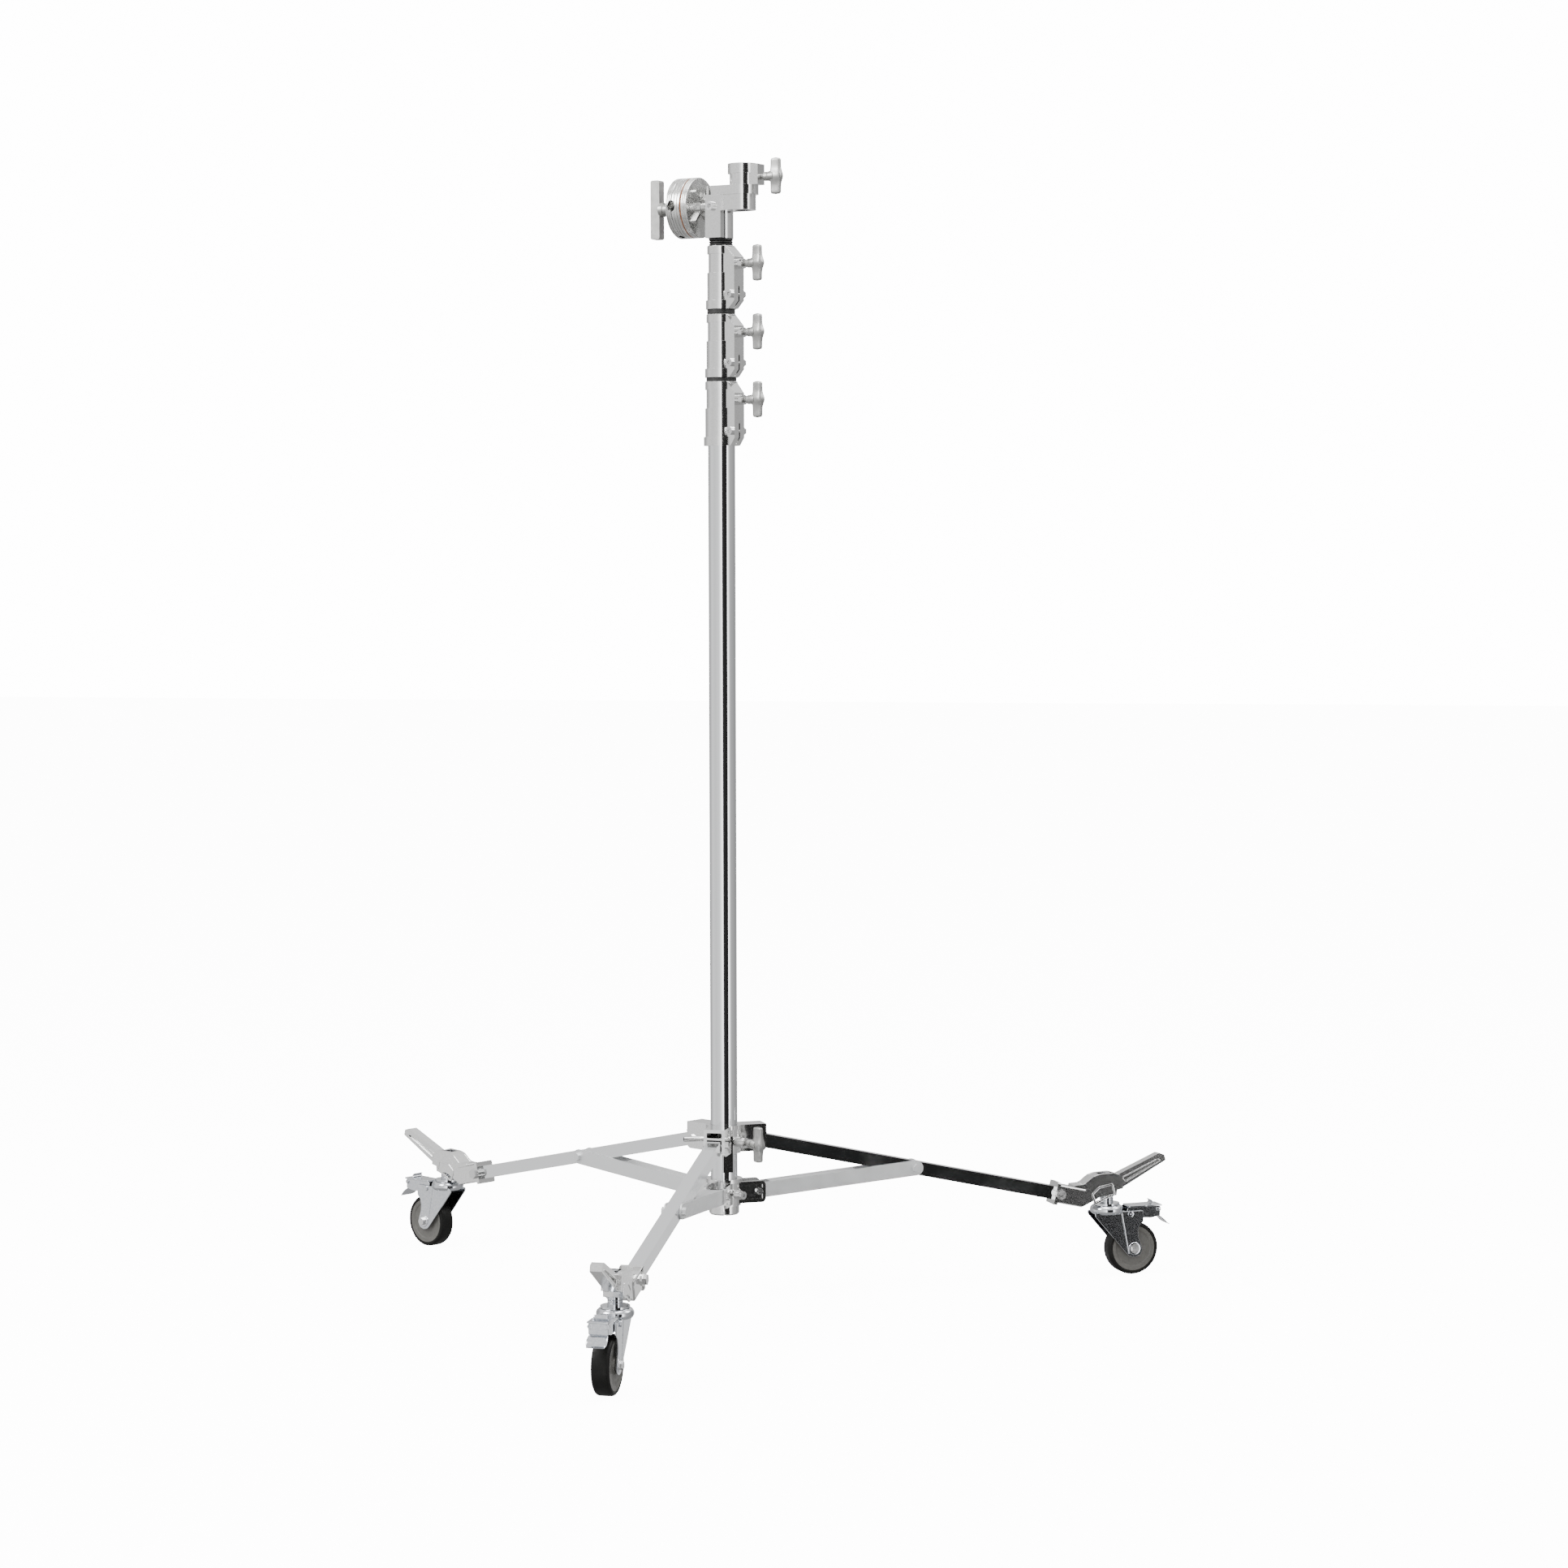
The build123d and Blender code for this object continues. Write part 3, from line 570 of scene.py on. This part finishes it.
def makePedal(number):
    centre, axes = casterAxes(number)
    name = f"brakePedal{number}"
    half, wall, edge = pedal["half"], pedal["wall"], pedal["edge"]
    cheek = roundedOutline(pedal["cheek"], 2.5, 4)
    foot, head = pedal["end"]
    end = [(-half, foot), (half, foot), (half, head), (-half, head)]
    parts = [platePiece(name + "a", cheek, half - wall, half, edge, centre, axes),
             platePiece(name + "b", cheek, -half, wall - half, edge, centre, axes),
             platePiece(name + "c", roundedOutline(pedal["lid"], 2.5, 4), *pedal["lidDepth"],
                        pedal["lidEdge"], centre, (axes[0], axes[2], axes[1])),
             platePiece(name + "e", roundedOutline(end, 1.0, 3), *pedal["endDepth"], edge, centre,
                        (axes[2], axes[1], axes[0])),
             stripPiece(name + "t", pedal["tab"], pedal["tabWidth"], pedal["tabThick"], centre, axes),
             stripPiece(name + "p", pedal["plate"], pedal["plateWidth"], pedal["plateThick"], centre, axes)]
    for side in (1, -1):
        # an open spring tube inside each side of the box, and a hinge pin head outside it
        x, z, y = pedal["tubeAt"]
        place = centre + (axes[0] * x + axes[1] * z + axes[2] * side * y) * mm
        parts.append(turnedPiece(name + f"s{side}", roundedOutline(pedal["tube"], 0.5, 2), place, axes[0], 24))
        x, z, y = pedal["pinAt"]
        place = centre + (axes[0] * x + axes[1] * z + axes[2] * side * y) * mm
        parts.append(turnedPiece(name + f"n{side}", roundedOutline(pedal["pin"], 0.6, 2), place,
                                 axes[2] * side, 32))
    piece = joinPieces(name, parts)
    paint(piece, "zinc_sheet")
    fit(piece, f"pedal_{number}", "zinc_sheet", f"brake_pedal_{number}")


for number in (1, 2, 3):
    makeBracket(number)
    makeFork(number)
    makePedal(number)
print("caster brackets, forks and brake pedals made")


# thick and deep are the wing's half sizes at its ends; hub, flare and taper change them along it
tee = {"half": 33.0, "thick": 4.4, "deep": 10.0, "hubThick": 3.9, "hubDeep": 1.6, "hubLift": 1.2,
       "flare": 0.3, "taper": 0.4, "hubWidth": 0.30, "endPower": 26, "leastEnd": 0.02, "power": 4.2,
       "shaft": [(0, -60.0), (4.7, -60.0), (4.7, -36.0), (7.2, -35.2), (8.4, -33.5), (8.4, -27.0),
                 (9.4, -24.0), (9.4, -14.0), (0, -14.0)],
       "shaftCorners": (0, 0.4, 0.6, 0.8, 0.8, 1, 1, 0.5, 0)}


def makeKnob(node, body, slot="knob_metal"):
    turning = joint(f"{node}_turn")
    axis = unit(turning["axis"])
    onAxis = np.array(turning["pos_m"])
    tip = onAxis + axis * ((nodePoints(node) - onAxis) @ axis).max()
    side = np.cross((0, 0, 1), axis)
    t = np.linspace(-1, 1, 61)
    bulge = np.exp(-(t / tee["hubWidth"]) ** 2)
    endRound = np.sqrt(np.clip(1 - np.abs(t) ** tee["endPower"], tee["leastEnd"], 1))
    thick = (tee["thick"] + tee["hubThick"] * bulge + tee["flare"] * np.abs(t)) * endRound
    deep = (tee["deep"] + tee["hubDeep"] * bulge - tee["taper"] * np.abs(t)) * endRound
    middle = -deep.max() + tee["hubLift"] * bulge
    wings = superLoft(node + "Wings", t * tee["half"], thick, deep, middle, tee["power"], tip,
                      (side, axis, (0, 0, 1)), 56, 50)
    stem = turnedPiece(node + "Stem", roundedOutline(tee["shaft"], tee["shaftCorners"], 3), tip, axis, 48, 40)
    knob = joinPieces(node + "Handle", [wings, stem])
    paint(knob, slot)
    fit(knob, body, slot, node)


for node in ("collar_tee", "tee_knob_1", "tee_knob_2", "tee_knob_3", "receiver_knob"):
    makeKnob(node, node)
print("clamp knobs made")


eye = {"azimuth": 13.695, "distance": 6.7246, "height": 1.3522, "yaw": -0.959, "pitch": 3.370,
       "roll": -0.139, "focal": 84.09, "sensor": 36.0, "far": 200.0}


def placeCamera():
    # the eye stands on a circle about the column; yaw, pitch and roll then turn its line of sight
    a = radians(eye["azimuth"])
    place = Vector((columnPlace[0] + eye["distance"] * np.sin(a), columnPlace[1] - eye["distance"] * np.cos(a),
                    eye["height"]))
    heading = a + radians(eye["yaw"])
    ahead = Vector((-np.sin(heading), np.cos(heading), 0))
    sight = ahead * np.cos(radians(eye["pitch"])) - Vector((0, 0, np.sin(radians(eye["pitch"]))))
    turn = sight.to_track_quat("-Z", "Y").to_matrix().to_4x4()
    camera = bpy.data.objects.new("camera", bpy.data.cameras.new("camera"))
    camera.data.lens = eye["focal"]
    camera.data.sensor_width = eye["sensor"]
    camera.data.clip_end = eye["far"]
    roll = Matrix.Rotation(radians(eye["roll"]), 4, "Z")
    camera.matrix_world = Matrix.Translation(place) @ turn @ roll
    bpy.context.scene.collection.objects.link(camera)
    bpy.context.scene.camera = camera


# the floor glows nearly as bright as the backdrop, so that it shows only as a faint change of white
ground = {"half": 30.0, "colour": (0.86, 0.86, 0.86), "roughness": 0.9, "shine": 0.1, "glow": 12.0}


def layFloor():
    half = ground["half"]
    mesh = bpy.data.meshes.new("floor")
    corners = [(-half, -half, 0), (half, -half, 0), (half, half, 0), (-half, half, 0)]
    mesh.from_pydata(corners, [], [(0, 1, 2, 3)])
    floor = bpy.data.objects.new("floor", mesh)
    bpy.context.scene.collection.objects.link(floor)
    f = finish("floorWhite", ground["colour"], 0.0, ground["roughness"])
    f.shader.inputs["Specular IOR Level"].default_value = ground["shine"]
    f.shader.inputs["Emission Color"].default_value = (1, 1, 1, 1)
    f.shader.inputs["Emission Strength"].default_value = ground["glow"]
    mesh.materials.append(f.material)
    floor.visible_glossy = False
    floor.visible_diffuse = False


room = {"backdrop": 15.0, "strength": 1.0, "sky": 1.25, "ground": 0.5, "steepFrom": 0.30, "steepTo": 0.62,
        # heading in degrees from -Y towards +X, and how bright the room is that way
        "bands": [(-180, 0.95), (-150, 0.70), (-112, 0.62), (-84, 1.2), (-50, 1.05), (-16, 1.25), (4, 2.6),
                  (11, 4.6), (15, 0.05), (30, 0.03), (56, 0.015), (60, 4.8), (72, 1.5), (84, 0.62),
                  (128, 0.45), (150, 0.36), (166, 1.1), (180, 0.95)]}


def lightRoom():
    # brightness = band at the ray's heading, blended to an even sky above and a paler ground below
    world = bpy.data.worlds.new("room")
    bpy.context.scene.world = world
    world.use_nodes = True
    tree = world.node_tree
    nodes, links = tree.nodes, tree.links
    for old in list(nodes):
        nodes.remove(old)

    def maths(operation, first, second=None):
        made = nodes.new("ShaderNodeMath")
        made.operation = operation
        for slot, value in enumerate((first, second)):
            if isinstance(value, (int, float)):
                made.inputs[slot].default_value = value
            elif value is not None:
                links.new(value, made.inputs[slot])
        return made.outputs[0]

    def mixed(factor, first, second):
        made = nodes.new("ShaderNodeMix")
        for slot, value in zip((0, 2, 3), (factor, first, second)):
            if isinstance(value, (int, float)):
                made.inputs[slot].default_value = value
            else:
                links.new(value, made.inputs[slot])
        return made.outputs[0]

    parts = nodes.new("ShaderNodeSeparateXYZ")
    links.new(nodes.new("ShaderNodeTexCoord").outputs["Generated"], parts.inputs[0])
    east, north, up = parts.outputs
    heading = maths("ARCTAN2", east, maths("MULTIPLY", north, -1.0))
    turnShare = maths("ADD", maths("DIVIDE", heading, 2 * np.pi), 0.5)
    rampNode = nodes.new("ShaderNodeValToRGB")
    stops = rampNode.color_ramp.elements
    stops.remove(stops[1])
    brightest = max(level for _, level in room["bands"])
    for degreesRound, level in room["bands"]:
        place = (degreesRound + 180) / 360
        stop = stops[0] if place == 0 else stops.new(place)
        stop.color = (level / brightest,) * 3 + (1,)
    links.new(turnShare, rampNode.inputs[0])
    band = maths("MULTIPLY", rampNode.outputs[0], brightest)
    steep = nodes.new("ShaderNodeMapRange")
    steep.interpolation_type = "SMOOTHSTEP"
    steep.inputs["From Min"].default_value = room["steepFrom"]
    steep.inputs["From Max"].default_value = room["steepTo"]
    links.new(maths("ABSOLUTE", up), steep.inputs["Value"])
    aboveHalf = maths("GREATER_THAN", up, 0.0)
    flat = mixed(aboveHalf, room["ground"], room["sky"])
    shade = mixed(steep.outputs["Result"], band, flat)
    ray = nodes.new("ShaderNodeLightPath")
    glow = nodes.new("ShaderNodeBackground")
    links.new(mixed(ray.outputs["Is Camera Ray"], shade, room["backdrop"]), glow.inputs["Color"])
    glow.inputs["Strength"].default_value = room["strength"]
    out = nodes.new("ShaderNodeOutputWorld")
    links.new(glow.outputs[0], out.inputs["Surface"])


lampAim = Vector((0, 0, 0.8))
lamps = [{"name": "keyLight", "at": (-3.2, -2.6, 4.2), "size": 2.4, "power": 260.0},
         {"name": "topLight", "at": (0.6, -0.4, 5.2), "size": 2.6, "power": 170.0},
         {"name": "fillLight", "at": (3.4, 1.6, 3.8), "size": 2.2, "power": 90.0}]


def hangLamps():
    for lamp in lamps:
        light = bpy.data.lights.new(lamp["name"], "AREA")
        light.energy = lamp["power"]
        light.size = lamp["size"]
        holder = bpy.data.objects.new(lamp["name"], light)
        place = Vector(lamp["at"])
        turn = (lampAim - place).to_track_quat("-Z", "Y").to_matrix().to_4x4()
        holder.matrix_world = Matrix.Translation(place) @ turn
        bpy.context.scene.collection.objects.link(holder)


placeCamera()
layFloor()
lightRoom()
hangLamps()
print("camera, floor and light placed")
